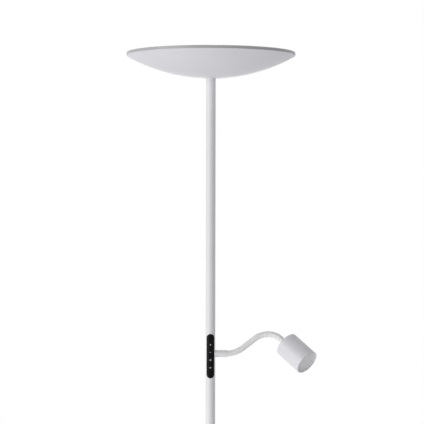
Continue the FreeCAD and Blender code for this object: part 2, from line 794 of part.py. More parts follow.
def reading_lead():
    """The thin lead from the control board through the arm and neck to the head's board."""
    pivots, directions = neck_line()
    level = number(ARM_HEIGHT)
    turn_in = number("wire_start")
    points = [
        FreeCAD.Vector(turn_in, -number("carrier_front"), level),
        FreeCAD.Vector(turn_in, 0, level),
    ]
    bends = [2 * number("wire_radius")]
    reach = number("bend_share") * number("neck_pitch")
    ways = [FreeCAD.Vector(1, 0, 0)] + directions
    for pivot, before, after in zip(pivots, ways, ways[1:]):
        turn = before.getAngle(after)
        if turn > math.radians(1):
            points.append(pivot)
            bends.append(reach / math.tan(turn / 2))
    points.append(head_place() + directions[-1] * number(SINK_TOP))
    lead("reading_lead", points, bends, number("wire_radius"))


# Reading head: a round can in line with the neck's last link. Heights start at its back face.

def head_place():
    pivots, directions = neck_line()
    return pivots[-1] + directions[-1] * number("ferrule_seat")


def head_case():
    turned("head_shell", [
        ("head_stud_radius + fit_gap", "0"),
        ("head_radius", "0"),
        ("head_radius", "head_length"),
        ("head_radius - head_wall", "head_length"),
        ("head_radius - head_wall", "head_back"),
        ("head_stud_radius + fit_gap", "head_back"),
    ])
    rounded(parts["head_shell"], [("head_radius", "0")], "back_round")
    rounded(parts["head_shell"], [("head_radius", "head_length")], "front_round")
    ferrule = turned("head_ferrule", [
        ("collar_bore", "-ferrule_seat + stub_length + fit_gap"),
        ("nose_radius + fit_gap", "-ferrule_seat + stub_length + fit_gap"),
        ("nose_radius + fit_gap", "-ferrule_seat - pivot_gap + ferrule_start"),
        ("ferrule_radius", "-ferrule_seat - pivot_gap + ferrule_start"),
        ("ferrule_radius", "0"),
        ("head_stud_radius", "0"),
        ("head_stud_radius", "head_stud_length"),
        ("collar_bore", "head_stud_length"),
    ])
    rounded(ferrule, [("ferrule_radius", "-ferrule_seat - pivot_gap + ferrule_start")], "collar_round")
    hex_nut("head_nut", "head_nut_corner", "head_nut_thick", "head_stud_radius + fit_gap", "head_back")


def head_lamp():
    sink = turned("head_heat_sink", [
        ("collar_bore", SINK_PLACE),
        (CAN_RADIUS, SINK_PLACE),
        (CAN_RADIUS, SINK_TOP),
        ("collar_bore", SINK_TOP),
    ])
    fin = outline(sink, "fin_outline", "XY_Plane", [
        ("fin_inner", "-fin_thick / 2"),
        (f"{CAN_RADIUS} - fin_thick", "-fin_thick / 2"),
        (f"{CAN_RADIUS} - fin_thick", "fin_thick / 2"),
        ("fin_inner", "fin_thick / 2"),
    ])
    fin.setExpression("AttachmentOffset.Base.z", bound(f"{SINK_PLACE} - fin_length"))
    repeated(sink, "fins", padded(sink, "fin", fin, "fin_length + sink_thick / 2"), "fin_count")
    board = tube("head_led_board", LAMP_BOARD_RADIUS, "collar_bore", SINK_TOP, LAMP_BOARD_TOP)
    for body, low in ((sink, f"{LAMP_BOARD_TOP} - lamp_screw_length"), (board, SINK_TOP)):
        hole = circle(body, f"{body.Name}_screw_outline", "XY_Plane", LAMP_SCREW_PLACE, "0",
                      "lamp_screw_radius + fit_gap")
        hole.setExpression("AttachmentOffset.Base.z", bound(low))
        cut = cut_away(body, f"{body.Name}_screw_hole", hole, "lamp_screw_length", reverse=True)
        repeated(body, f"{body.Name}_screw_holes", cut, "lamp_screw_count")
    chip_top = f"{LAMP_BOARD_TOP} + lamp_chip_thick"
    turned("head_led_chip", [("0", LAMP_BOARD_TOP), ("lamp_chip_radius", LAMP_BOARD_TOP),
                             ("lamp_chip_radius", chip_top), ("0", chip_top)])
    screws("head_screws", LAMP_SCREW_PLACE, "lamp_screw_count", "lamp_screw_radius", "lamp_screw_length",
           "lamp_screw_head", "lamp_screw_head_thick", LAMP_BOARD_TOP)


def head_optics():
    throat = f"({LAMP_BOARD_TOP} + fit_gap)"
    mouth = f"({throat} + reflector_rise)"
    turned("head_reflector", [
        ("reflector_throat", throat),
        ("reflector_throat + reflector_wall", throat),
        (f"{CAN_RADIUS} - reflector_lip + reflector_wall", f"{mouth} - reflector_wall"),
        (CAN_RADIUS, f"{mouth} - reflector_wall"),
        (CAN_RADIUS, mouth),
        (f"{CAN_RADIUS} - reflector_lip", mouth),
    ])
    lens_top = f"({mouth} + lens_thick)"
    turned("head_diffuser", [("0", mouth), (CAN_RADIUS, mouth), (CAN_RADIUS, lens_top), ("0", lens_top)])
    ring_inner = f"{CAN_RADIUS} - lens_ring_width"
    tube("head_ring", CAN_RADIUS, ring_inner, lens_top, f"{lens_top} + lens_ring_thick")


def reading_head():
    head_case()
    head_lamp()
    head_optics()
    pivots, directions = neck_line()
    pieces = ["head_shell", "head_ferrule", "head_nut", "head_heat_sink", "head_led_board", "head_led_chip",
              "head_screws", "head_reflector", "head_diffuser", "head_ring"]
    for name in pieces:
        parts[name].Placement = axis_frame(head_place(), directions[-1])


def screws(name, place, count, radius, length, head_radius, head_thick, level):
    """Pan-head screws round the Z axis, their heads seated at a level."""
    body = doc.addObject("PartDesign::Body", name)
    shank = circle(body, f"{name}_shank_outline", "XY_Plane", place, "0", radius)
    shank.setExpression("AttachmentOffset.Base.z", bound(f"{level} - {length}"))
    shanks = padded(body, f"{name}_shank", shank, length)
    repeated(body, f"{name}_shanks", shanks, count)
    head = circle(body, f"{name}_head_outline", "XY_Plane", place, "0", head_radius)
    head.setExpression("AttachmentOffset.Base.z", bound(level))
    heads = padded(body, f"{name}_head", head, head_thick)
    repeated(body, f"{name}_heads", heads, count)
    return finished(name, body)


# Dish: a spun bowl with its light under an opal cover

def bowl_inside(radius):
    """The height of the bowl's inner face at a radius."""
    return f"({DISH_BOTTOM} + {BOWL_CENTRE} - sqrt({BOWL_INNER}^2 - ({radius})^2))"


def dish():
    rim = f"({DISH_BOTTOM} + bowl_depth)"
    turned("dish_shell", [
        (HOLE_RADIUS, DISH_BOTTOM),
        ("bowl_flat", DISH_BOTTOM),
        ("rim_radius", rim),
        ("rim_radius", RIM_TOP),
        ("rim_radius - bowl_wall", RIM_TOP),
        ("rim_radius - bowl_wall", bowl_inside("rim_radius - bowl_wall")),
        ("bowl_flat", bowl_inside("bowl_flat")),
        (HOLE_RADIUS, bowl_inside("bowl_flat")),
    ], arcs={1: ("0", "ccw"), 2: ("rim_radius", "ccw"), 5: ("0", "cw")})
    washer_top = f"({bowl_inside('bowl_flat')} + washer_thick)"
    tube("dish_washer", "washer_radius", HOLE_RADIUS, bowl_inside("bowl_flat"), washer_top)
    hex_nut("dish_nut", "nut_corner_radius", "nut_thick", SOCKET_BORE, washer_top)
    skirt_low = f"{RIM_TOP} - skirt_drop"
    under = "(lamp_height - diffuser_wall)"
    diffuser = turned("dish_diffuser", [
        ("0", under),
        (f"{SKIRT_RADIUS} - skirt_wall", under),
        (f"{SKIRT_RADIUS} - skirt_wall", skirt_low),
        (SKIRT_RADIUS, skirt_low),
        (SKIRT_RADIUS, RIM_TOP),
        ("rim_radius + diffuser_lip", RIM_TOP),
        ("rim_radius + diffuser_lip", "lamp_height"),
        ("0", "lamp_height"),
    ])
    rounded(diffuser, [("rim_radius + diffuser_lip", "lamp_height")], "diffuser_round")


def dish_light():
    plate = tube("dish_plate", PLATE_RADIUS, "plate_hole", PLATE_BOTTOM, PLATE_TOP)
    hole = circle(plate, "plate_hole_outline", "XY_Plane", POST_PLACE, "0", "screw_radius + fit_gap")
    hole.setExpression("AttachmentOffset.Base.z", bound(PLATE_BOTTOM))
    cut = cut_away(plate, "plate_hole", hole, "plate_thick", reverse=True)
    repeated(plate, "plate_holes", cut, "post_count")
    screws("dish_screws", POST_PLACE, "post_count", "screw_radius", "screw_length",
           "screw_head_radius", "screw_head_thick", PLATE_TOP)
    posts = doc.addObject("PartDesign::Body", "post_bars")
    bar = circle(posts, "post_outline", "XY_Plane", POST_PLACE, "0", "post_radius")
    bar.setExpression("AttachmentOffset.Base.z", bound(DISH_BOTTOM))
    repeated(posts, "posts", padded(posts, "post", bar, f"{PLATE_BOTTOM} - {DISH_BOTTOM}"), "post_count")
    bore = circle(posts, "post_bore_outline", "XY_Plane", POST_PLACE, "0", "screw_radius + fit_gap")
    bore.setExpression("AttachmentOffset.Base.z", bound(f"{PLATE_TOP} - screw_length"))
    cut = cut_away(posts, "post_bore", bore, "screw_length", reverse=True)
    repeated(posts, "post_bores", cut, "post_count")
    ball = doc.addObject("Part::Sphere", "bowl_space")
    sized(ball, Radius=BOWL_INNER)
    ball.setExpression("Placement.Base.z", bound(f"{DISH_BOTTOM} + {BOWL_CENTRE}"))
    finished("dish_posts", joined("Part::Common", "dish_posts", posts, ball))
    board_top = f"({PLATE_TOP} + dish_board_thick)"
    tube("dish_led_board", BOARD_EDGE, "dish_board_inner", PLATE_TOP, board_top)
    chips = doc.addObject("PartDesign::Body", "dish_led_chips")
    for ring in ("inner", "outer"):
        place = f"({BOARD_EDGE} - {ring}_ring_inset)"
        chip = outline(chips, f"{ring}_chip_outline", "XY_Plane", [
            (place, "-chip_width / 2"),
            (f"{place} + chip_length", "-chip_width / 2"),
            (f"{place} + chip_length", "chip_width / 2"),
            (place, "chip_width / 2"),
        ])
        chip.setExpression("AttachmentOffset.Base.z", bound(board_top))
        first = padded(chips, f"{ring}_chip", chip, "chip_thick")
        repeated(chips, f"{ring}_chips", first, f"{ring}_ring_count")
    finished("dish_led_chips", chips)
    dish_driver()
    dish_clips()


def dish_driver():
    """The potted driver that hangs under the dish's plate."""
    body = doc.addObject("PartDesign::Body", "dish_driver")
    half = "driver_width / 2"
    sketch = outline(body, "driver_outline", "XY_Plane", [
        ("driver_place", f"-{half}"),
        ("driver_place + driver_length", f"-{half}"),
        ("driver_place + driver_length", half),
        ("driver_place", half),
    ])
    sketch.setExpression("AttachmentOffset.Base.z", bound(f"{PLATE_BOTTOM} - driver_thick"))
    block = padded(body, "driver_block", sketch, "driver_thick")
    doc.recompute()
    upright = [f"Edge{index}" for index, edge in enumerate(block.Shape.Edges, start=1)
               if abs(edge.Vertexes[0].Z - edge.Vertexes[-1].Z) > number("driver_thick") / 2]
    corners = body.newObject("PartDesign::Fillet", "driver_corners")
    corners.Base = (block, upright)
    sized(corners, Radius="driver_round")
    doc.recompute()
    finished("dish_driver", body)


def dish_clips():
    """Leaf springs on the plate that press outwards on the cover's skirt."""
    leaf = f"({SKIRT_RADIUS} - skirt_wall - touch_end_gap)"
    bend = f"({PLATE_TOP} + clip_slope)"
    body = doc.addObject("PartDesign::Body", "dish_clips")
    sketch = outline(body, "clip_outline", "XZ_Plane", [
        (f"{PLATE_RADIUS} - clip_foot", PLATE_TOP),
        (PLATE_RADIUS, PLATE_TOP),
        (leaf, bend),
        (leaf, f"{bend} + clip_leaf"),
        (f"{leaf} - clip_thick", f"{bend} + clip_leaf"),
        (f"{leaf} - clip_thick", f"{bend} + clip_thick / 2"),
        (f"{PLATE_RADIUS} - clip_thick / 2", f"{PLATE_TOP} + clip_thick"),
        (f"{PLATE_RADIUS} - clip_foot", f"{PLATE_TOP} + clip_thick"),
    ])
    sketch.setExpression("AttachmentOffset.Base.z", bound("-clip_width / 2"))
    clip = padded(body, "clip", sketch, "clip_width")
    repeated(body, "clips", clip, "post_count")
    turn = FreeCAD.Rotation(FreeCAD.Vector(0, 0, 1), number("clip_angle"))
    body.Placement = FreeCAD.Placement(FreeCAD.Vector(0, 0, 0), turn)
    finished("dish_clips", body)


def check(name, thing):
    """Stop unless a sub-part's shape is whole."""
    shape = thing.Shape
    if shape.isNull() or not shape.isValid() or not shape.Solids:
        raise RuntimeError(f"{name} has no valid solid")
    for solid in shape.Solids:
        if solid.Volume <= 0:
            raise RuntimeError(f"{name} has an empty solid")


foot()
pole()
feed_lead()
touch_control()
arm_root()
neck()
reading_lead()
reading_head()
dish()
dish_light()
doc.recompute()

for thing in doc.Objects:
    if "Invalid" in thing.State or "Error" in thing.State:
        raise RuntimeError(f"{thing.Name} failed: {thing.State}")
for name, thing in parts.items():
    check(name, thing)
os.makedirs("parts", exist_ok=True)
for name, thing in parts.items():
    thing.Shape.exportStep(f"parts/{name}.step")
print(len(parts), "sub-parts written")
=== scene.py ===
import json
import math

import bmesh
import bpy
from mathutils import Matrix, Vector

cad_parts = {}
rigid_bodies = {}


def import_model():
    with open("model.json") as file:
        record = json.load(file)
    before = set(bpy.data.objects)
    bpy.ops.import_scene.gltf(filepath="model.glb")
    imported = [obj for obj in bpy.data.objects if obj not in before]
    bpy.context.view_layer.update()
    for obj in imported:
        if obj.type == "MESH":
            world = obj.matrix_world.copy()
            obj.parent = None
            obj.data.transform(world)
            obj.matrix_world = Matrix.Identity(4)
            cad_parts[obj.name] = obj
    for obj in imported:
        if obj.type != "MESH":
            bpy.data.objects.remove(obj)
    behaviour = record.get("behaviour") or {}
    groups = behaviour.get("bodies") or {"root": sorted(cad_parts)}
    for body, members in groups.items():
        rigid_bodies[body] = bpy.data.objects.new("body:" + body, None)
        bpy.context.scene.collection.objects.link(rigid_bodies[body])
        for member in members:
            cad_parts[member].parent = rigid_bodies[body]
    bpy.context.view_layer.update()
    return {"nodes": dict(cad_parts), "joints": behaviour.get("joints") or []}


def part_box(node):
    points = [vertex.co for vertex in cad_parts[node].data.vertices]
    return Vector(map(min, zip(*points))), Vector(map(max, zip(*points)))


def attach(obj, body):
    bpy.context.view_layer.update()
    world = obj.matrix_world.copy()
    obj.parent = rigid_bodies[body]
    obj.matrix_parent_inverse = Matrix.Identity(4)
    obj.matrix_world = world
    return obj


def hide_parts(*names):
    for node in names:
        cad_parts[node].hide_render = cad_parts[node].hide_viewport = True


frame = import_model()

MM = 0.001


# Camera. It stands level and far back, straight in front of the pole, and takes in the lamp's upper part
# as the photograph does.

camera_data = bpy.data.cameras.new("camera")
camera_data.sensor_width = 36.0
camera_data.lens = 153.5
camera_side = 0.0022
camera_distance = 3.0
camera_height = 1.4954
camera_roll = math.radians(-0.1)
camera = bpy.data.objects.new("camera", camera_data)
camera.location = (camera_side, -camera_distance, camera_height)
camera.rotation_euler = (math.radians(90), camera_roll, 0)
bpy.context.scene.collection.objects.link(camera)
bpy.context.scene.camera = camera


# Floor pad. A punched disc of grey needle felt, glued under the iron disc, so that the lamp doesn't
# scratch the floor.

def put(tree, kind, settings=None, **inputs):
    """Adds a node. An input takes a value or another node's socket, and its name has _ for each space."""
    node = tree.nodes.new(kind)
    for name, value in (settings or {}).items():
        setattr(node, name, value)
    for name, value in inputs.items():
        fill(tree, node.inputs[name.replace("_", " ")], value)
    return node


def fill(tree, socket, value):
    """Links a socket to the value where that is another node's socket, and else sets it."""
    if isinstance(value, bpy.types.NodeSocket):
        tree.links.new(value, socket)
    else:
        socket.default_value = value


def calc(tree, operation, *values):
    """A maths node's result, in a shader or a geometry tree."""
    node = tree.nodes.new("ShaderNodeMath")
    node.operation = operation
    for socket, value in zip(node.inputs, values):
        fill(tree, socket, value)
    return node.outputs[0]


def mix_colours(tree, share, first, second):
    """Goes from the first colour to the second as the share goes from zero to one."""
    node = put(tree, "ShaderNodeMix", {"data_type": "RGBA"})
    factor, first_colour, second_colour = 0, 6, 7
    for index, value in ((factor, share), (first_colour, first), (second_colour, second)):
        fill(tree, node.inputs[index], value)
    colour_result = 2
    return node.outputs[colour_result]


def combine(tree, operation, first, second):
    """A vector maths node on two vectors."""
    node = put(tree, "ShaderNodeVectorMath", {"operation": operation})
    fill(tree, node.inputs[0], first)
    fill(tree, node.inputs[1], second)
    return node.outputs[0]


def group_of(name, kind, inputs, outputs):
    """A node group with its sockets, given as names with a socket kind and a default value."""
    group = bpy.data.node_groups.new(name, kind)
    for label, (socket, default) in inputs.items():
        made = group.interface.new_socket(name=label, in_out="INPUT", socket_type="NodeSocket" + socket)
        if default is not None:
            made.default_value = default
    for label, socket in outputs.items():
        group.interface.new_socket(name=label, in_out="OUTPUT", socket_type="NodeSocket" + socket)
    return group, group.nodes.new("NodeGroupInput"), group.nodes.new("NodeGroupOutput")


def surface_grain():
    """Cloudy patches of two near colours, with a fine grain in the height and the roughness."""
    group, given, result = group_of("surface_grain", "ShaderNodeTree", {
        "Vector": ("Vector", None),
        "Colour": ("Color", (0.8, 0.8, 0.8, 1)),
        "Patch Colour": ("Color", (0.8, 0.8, 0.8, 1)),
        "Patch Size": ("Float", 0.03),
        "Grain Size": ("Float", 0.001),
        "Grain Shade": ("Float", 0.0),
        "Roughness": ("Float", 0.5),
        "Roughness Spread": ("Float", 0.05),
    }, {"Colour": "Color", "Roughness": "Float", "Height": "Float"})
    ins = given.outputs
    patches = put(group, "ShaderNodeTexNoise", Vector=ins["Vector"], Detail=4.0,
                  Scale=calc(group, "DIVIDE", 1.0, ins["Patch Size"]))
    grain = put(group, "ShaderNodeTexNoise", Vector=ins["Vector"], Detail=3.0, Roughness=0.55,
                Scale=calc(group, "DIVIDE", 1.0, ins["Grain Size"]))
    spread = put(group, "ShaderNodeMapRange", Value=patches.outputs["Fac"], From_Min=0.35, From_Max=0.65)
    mixed = mix_colours(group, spread.outputs[0], ins["Colour"], ins["Patch Colour"])
    signed = calc(group, "SUBTRACT", grain.outputs["Fac"], 0.5)
    shade = calc(group, "MULTIPLY_ADD", signed, ins["Grain Shade"], 1.0)
    shaded = put(group, "ShaderNodeVectorMath", {"operation": "SCALE"}, Vector=mixed, Scale=shade)
    rough = calc(group, "MULTIPLY_ADD", signed, ins["Roughness Spread"], ins["Roughness"])
    group.links.new(shaded.outputs[0], result.inputs["Colour"])
    group.links.new(rough, result.inputs["Roughness"])
    group.links.new(grain.outputs["Fac"], result.inputs["Height"])
    return group


GRAIN = surface_grain()


class Finish:
    """A material with its principled shader and, behind it, a grain that follows the piece's own place."""

    def __init__(self, name, colour, patch_colour, patch, grain, depth, roughness, spread,
                 grain_shade=0.0, **plain):
        self.material = bpy.data.materials.new(name)
        self.material.use_nodes = True
        self.tree = self.material.node_tree
        self.shader = self.tree.nodes["Principled BSDF"]
        for label, value in plain.items():
            self.shader.inputs[label.replace("_", " ")].default_value = value
        self.place = put(self.tree, "ShaderNodeTexCoord").outputs["Object"]
        grained = put(self.tree, "ShaderNodeGroup", {"node_tree": GRAIN}, Vector=self.place,
                      Colour=(*colour, 1), Patch_Colour=(*patch_colour, 1), Patch_Size=patch,
                      Grain_Size=grain, Grain_Shade=grain_shade, Roughness=roughness,
                      Roughness_Spread=spread)
        relief = put(self.tree, "ShaderNodeBump", Height=grained.outputs["Height"], Distance=depth)
        self.tree.links.new(grained.outputs["Colour"], self.shader.inputs["Base Color"])
        self.tree.links.new(grained.outputs["Roughness"], self.shader.inputs["Roughness"])
        self.tree.links.new(relief.outputs[0], self.shader.inputs["Normal"])

    def tint(self, mask, colour):
        """Mixes a second colour over the base, where the mask is one."""
        socket = self.shader.inputs["Base Color"]
        under = socket.links[0].from_socket
        self.tree.links.new(mix_colours(self.tree, mask, under, (*colour, 1)), socket)

    def on(self, *nodes):
        """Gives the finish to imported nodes."""
        for node in nodes:
            frame["nodes"][node].data.materials[0] = self.material


felt = Finish("grey_felt", (0.1, 0.1, 0.103), (0.14, 0.14, 0.143), patch=4 * MM, grain=0.35 * MM,
              depth=0.25 * MM, roughness=0.95, spread=0.1, grain_shade=0.9, Specular_IOR_Level=0.1,
              Sheen_Weight=0.4)
felt.on("base_pad")


# Weight. A sand-cast iron disc under the cover, dipped in thin black primer. Its hub carries the pole, and
# its mass keeps the lamp upright.

primer = Finish("primed_iron", (0.07, 0.072, 0.075), (0.11, 0.105, 0.1), patch=25 * MM, grain=1.1 * MM,
                depth=0.3 * MM, roughness=0.62, spread=0.35, grain_shade=0.5)
primer.on("base_weight")


# Foot's cover, upper pole tube and collar. Pressed or drawn steel with white powder paint, baked on, which
# leaves a fine orange peel and a satin gloss.

paint = Finish("white_powder_paint", (0.81, 0.808, 0.832), (0.79, 0.788, 0.812), patch=45 * MM,
               grain=0.9 * MM, depth=0.006 * MM, roughness=0.42, spread=0.08, Coat_Weight=0.08,
               Coat_Roughness=0.25)
paint.on("base_cover", "pole_upper", "arm_collar")


# Lower and middle pole tubes. Drawn steel, cut to length, with their ends broken by a small chamfer, so
# that each screwed joint shows as a fine line. Painted as the rest.

def grown(name, group, points, closed=False, **inputs):
    """Runs a geometry tree on a line of points and keeps what it makes as a plain mesh."""
    edges = [(index, index + 1) for index in range(len(points) - 1)]
    if closed:
        edges.append((len(points) - 1, 0))
    data = bpy.data.meshes.new(name + "_line")
    data.from_pydata(points, edges, [])
    seed = bpy.data.objects.new(name + "_line", data)
    bpy.context.scene.collection.objects.link(seed)
    modifier = seed.modifiers.new("grow", "NODES")
    modifier.node_group = group
    for socket in group.interface.items_tree:
        label = socket.name.replace(" ", "_")
        if socket.in_out == "INPUT" and label in inputs:
            modifier[socket.identifier] = inputs[label]
    evaluated = seed.evaluated_get(bpy.context.evaluated_depsgraph_get())
    made = bpy.data.meshes.new_from_object(evaluated)
    bpy.data.objects.remove(seed)
    made.name = name
    thing = bpy.data.objects.new(name, made)
    bpy.context.scene.collection.objects.link(thing)
    return thing


def outwards(thing, crease=40):
    """Turns a mesh's faces outwards, and keeps its edges sharp where they turn by more than the crease."""
    mesh = bmesh.new()
    mesh.from_mesh(thing.data)
    bmesh.ops.recalc_face_normals(mesh, faces=mesh.faces)
    mesh.to_mesh(thing.data)
    mesh.free()
    thing.data.set_sharp_from_angle(angle=math.radians(crease))


def turned_form():
    """A line, drawn as radius and height, turned round the upright axis. Its points ride on a ring of any
    radius, and are then set to their own."""
    group, given, result = group_of("turned_form", "GeometryNodeTree", {
        "Line": ("Geometry", None),
        "Steps": ("Int", 96),
        "Material": ("Material", None),
    }, {"Geometry": "Geometry"})
    ins = given.outputs
    ring_radius = 0.1
    merge_reach = 0.001 * MM
    outline = put(group, "GeometryNodeMeshToCurve", Mesh=ins["Line"])
    spot = put(group, "GeometryNodeInputPosition")
    drawn = put(group, "GeometryNodeStoreNamedAttribute", {"data_type": "FLOAT_VECTOR", "domain": "POINT"},
                Geometry=outline.outputs[0], Name="drawn", Value=spot.outputs[0])
    ring = put(group, "GeometryNodeCurvePrimitiveCircle", Resolution=ins["Steps"], Radius=ring_radius)
    index = put(group, "GeometryNodeInputIndex")
    angle = calc(group, "DIVIDE", calc(group, "MULTIPLY", index.outputs[0], math.tau), ins["Steps"])
    marked = put(group, "GeometryNodeStoreNamedAttribute", {"data_type": "FLOAT", "domain": "POINT"},
                 Geometry=ring.outputs[0], Name="turn", Value=angle)
    swept = put(group, "GeometryNodeCurveToMesh", Curve=marked.outputs[0], Profile_Curve=drawn.outputs[0])
    turn = put(group, "GeometryNodeInputNamedAttribute", {"data_type": "FLOAT"}, Name="turn").outputs[0]
    place = put(group, "GeometryNodeInputNamedAttribute", {"data_type": "FLOAT_VECTOR"}, Name="drawn")
    parts = put(group, "ShaderNodeSeparateXYZ", Vector=place.outputs[0])
    moved = put(group, "ShaderNodeCombineXYZ", Z=parts.outputs["Z"],
                X=calc(group, "MULTIPLY", parts.outputs["X"], calc(group, "COSINE", turn)),
                Y=calc(group, "MULTIPLY", parts.outputs["X"], calc(group, "SINE", turn)))
    shaped = put(group, "GeometryNodeSetPosition", Geometry=swept.outputs[0], Position=moved.outputs[0])
    merged = put(group, "GeometryNodeMergeByDistance", Geometry=shaped.outputs[0], Distance=merge_reach)
    smooth = put(group, "GeometryNodeSetShadeSmooth", Geometry=merged.outputs[0])
    real = put(group, "GeometryNodeRealizeInstances", Geometry=smooth.outputs[0])
    coated = put(group, "GeometryNodeSetMaterial", Geometry=real.outputs[0], Material=ins["Material"])
    group.links.new(coated.outputs[0], result.inputs["Geometry"])
    return group


TURNED_FORM = turned_form()


def turned(name, corners, steps, material):
    """A turned piece, from corners given as radius and height."""
    points = [(radius, 0, height) for radius, height in corners]
    thing = grown(name, TURNED_FORM, points, closed=True, Steps=steps, Material=material)
    outwards(thing)
    return thing


tube_wall = 1.2 * MM
tube_chamfer = 0.35 * MM
tube_steps = 96
for name in ("pole_lower", "pole_middle"):
    tube_low, tube_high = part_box(name)
    tube_radius = tube_high.x
    tube_bore = tube_radius - tube_wall
    tube = turned(name + "_tube", [
        (tube_bore, tube_low.z),
        (tube_radius - tube_chamfer, tube_low.z),
        (tube_radius, tube_low.z + tube_chamfer),
        (tube_radius, tube_high.z - tube_chamfer),
        (tube_radius - tube_chamfer, tube_high.z),
        (tube_bore, tube_high.z),
    ], tube_steps, paint.material)
    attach(tube, "stand")
    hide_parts(name)


# Cord gland and driver's case. The gland is a black nylon bush, pressed into the hole at the foot's back,
# where the mains cord goes in. The driver in the dish has a moulded case of the same nylon.

nylon = Finish("black_nylon", (0.022, 0.022, 0.023), (0.03, 0.03, 0.031), patch=8 * MM, grain=0.3 * MM,
               depth=0.02 * MM, roughness=0.5, spread=0.25, grain_shade=0.15)
nylon.on("cord_gland", "dish_driver")


# Terminal block, board carrier and feed lead. The block and the carrier are moulded from white nylon. The
# lead's copper lies in soft white insulation.

white_plastic = Finish("white_plastic", (0.78, 0.78, 0.76), (0.74, 0.74, 0.72), patch=10 * MM,
                       grain=0.25 * MM, depth=0.01 * MM, roughness=0.48, spread=0.2)
white_plastic.on("supply_connector", "control_carrier", "feed_lead")


# Threads, washers, nuts, plugs, posts, screws and clips. Turned or stamped steel with bright zinc. They
# hold the lamp together, and nearly all of them are hidden inside it.

zinc = Finish("bright_zinc", (0.66, 0.67, 0.68), (0.56, 0.58, 0.62), patch=6 * MM, grain=0.5 * MM,
              depth=0.01 * MM, roughness=0.34, spread=0.3, Metallic=1.0)
zinc.on("base_nipple", "base_washer", "base_nut", "pole_foot", "lower_joint_stud", "lower_joint_socket",
        "upper_joint_stud", "upper_joint_socket", "pole_head_stud", "arm_nut", "head_nut", "head_screws",
        "dish_washer", "dish_nut", "dish_posts", "dish_screws", "dish_clips")


# Touch board and its pads. Green fibreglass with copper tracks under the mask, and tinned pads on it that
# feel a finger through the cover.

board = Finish("green_board", (0.02, 0.13, 0.05), (0.025, 0.15, 0.06), patch=12 * MM, grain=0.3 * MM,
               depth=0.01 * MM, roughness=0.35, spread=0.15)
tracks = put(board.tree, "ShaderNodeTexBrick", Vector=board.place, Scale=1.0, Mortar_Size=0.12 * MM,
             Brick_Width=6 * MM, Row_Height=1.3 * MM)
board.tint(tracks.outputs["Fac"], (0.05, 0.24, 0.1))
board.on("control_board")

copper = Finish("tinned_copper", (0.72, 0.5, 0.36), (0.78, 0.62, 0.5), patch=2 * MM, grain=0.2 * MM,
                depth=0.01 * MM, roughness=0.3, spread=0.3, Metallic=1.0)
copper.on("touch_pads")


# Touch cover. A strip of black acrylic, bent to the pole's round, snapped into the window. Fingers leave
# it a little uneven in gloss.

acrylic = Finish("black_acrylic", (0.006, 0.006, 0.0065), (0.007, 0.007, 0.0075), patch=14 * MM,
                 grain=3 * MM, depth=0.004 * MM, roughness=0.16, spread=0.18, Specular_IOR_Level=0.05)
acrylic.on("touch_cover")


# Signs on the touch cover. White ink, printed in a thin layer: a plus and a minus for the light's level, a
# broken ring with a stroke for the power, and the outline of an eye for the reading light.

cover_low, cover_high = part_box("touch_cover")
cover_radius = -cover_low.y
cover_middle = (cover_low.z + cover_high.z) / 2
print_lift = 0.02 * MM
print_thick = 0.06 * MM
sign_pitch = 12.66 * MM
sign_arm = 1.5
stroke = 0.6


def strip(mesh, points, width):
    """A band of even width through points on the cover's front, given as across and up."""
    rows = []
    for index, point in enumerate(points):
        before = points[max(index - 1, 0)]
        after = points[min(index + 1, len(points) - 1)]
        way = (after - before).normalized()
        side = Vector((-way.y, way.x)) * width / 2
        rows.append([mesh.verts.new((*(point + side), 0)), mesh.verts.new((*(point - side), 0))])
    for low, high in zip(rows, rows[1:]):
        mesh.faces.new((low[0], high[0], high[1], low[1]))


def arc_points(centre, radius, first, last, steps=24):
    """Points on an arc between two angles in degrees."""
    turns = [math.radians(first + (last - first) * step / steps) for step in range(steps + 1)]
    return [Vector((centre[0] + radius * math.cos(turn), centre[1] + radius * math.sin(turn)))
            for turn in turns]


def straight(first, last, steps=8):
    """Points on a straight line, close enough together to follow the cover's round."""
    return [Vector(first).lerp(Vector(last), step / steps) for step in range(steps + 1)]


def printed_sign(name, place, bands):
    """One sign as thin ink on the round cover. Its place is counted in sign pitches up from the cover's
    middle, and a band is its points and its width in millimetres."""
    mesh = bmesh.new()
    for points, width in bands:
        strip(mesh, [point * MM for point in points], width * MM)
    outer = cover_radius + print_lift
    level = cover_middle + place * sign_pitch
    made = bmesh.ops.extrude_face_region(mesh, geom=mesh.faces[:] + mesh.edges[:])
    raised = [item for item in made["geom"] if isinstance(item, bmesh.types.BMVert)]
    for vert in mesh.verts:
        radius = outer if vert in raised else outer - print_thick
        across, up = vert.co.x, vert.co.y
        turn = across / cover_radius
        vert.co = (radius * math.sin(turn), -radius * math.cos(turn), level + up)
    bmesh.ops.recalc_face_normals(mesh, faces=mesh.faces)
    data = bpy.data.meshes.new(name)
    mesh.to_mesh(data)
    mesh.free()
    data.materials.append(ink.material)
    sign = bpy.data.objects.new(name, data)
    bpy.context.scene.collection.objects.link(sign)
    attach(sign, "stand")


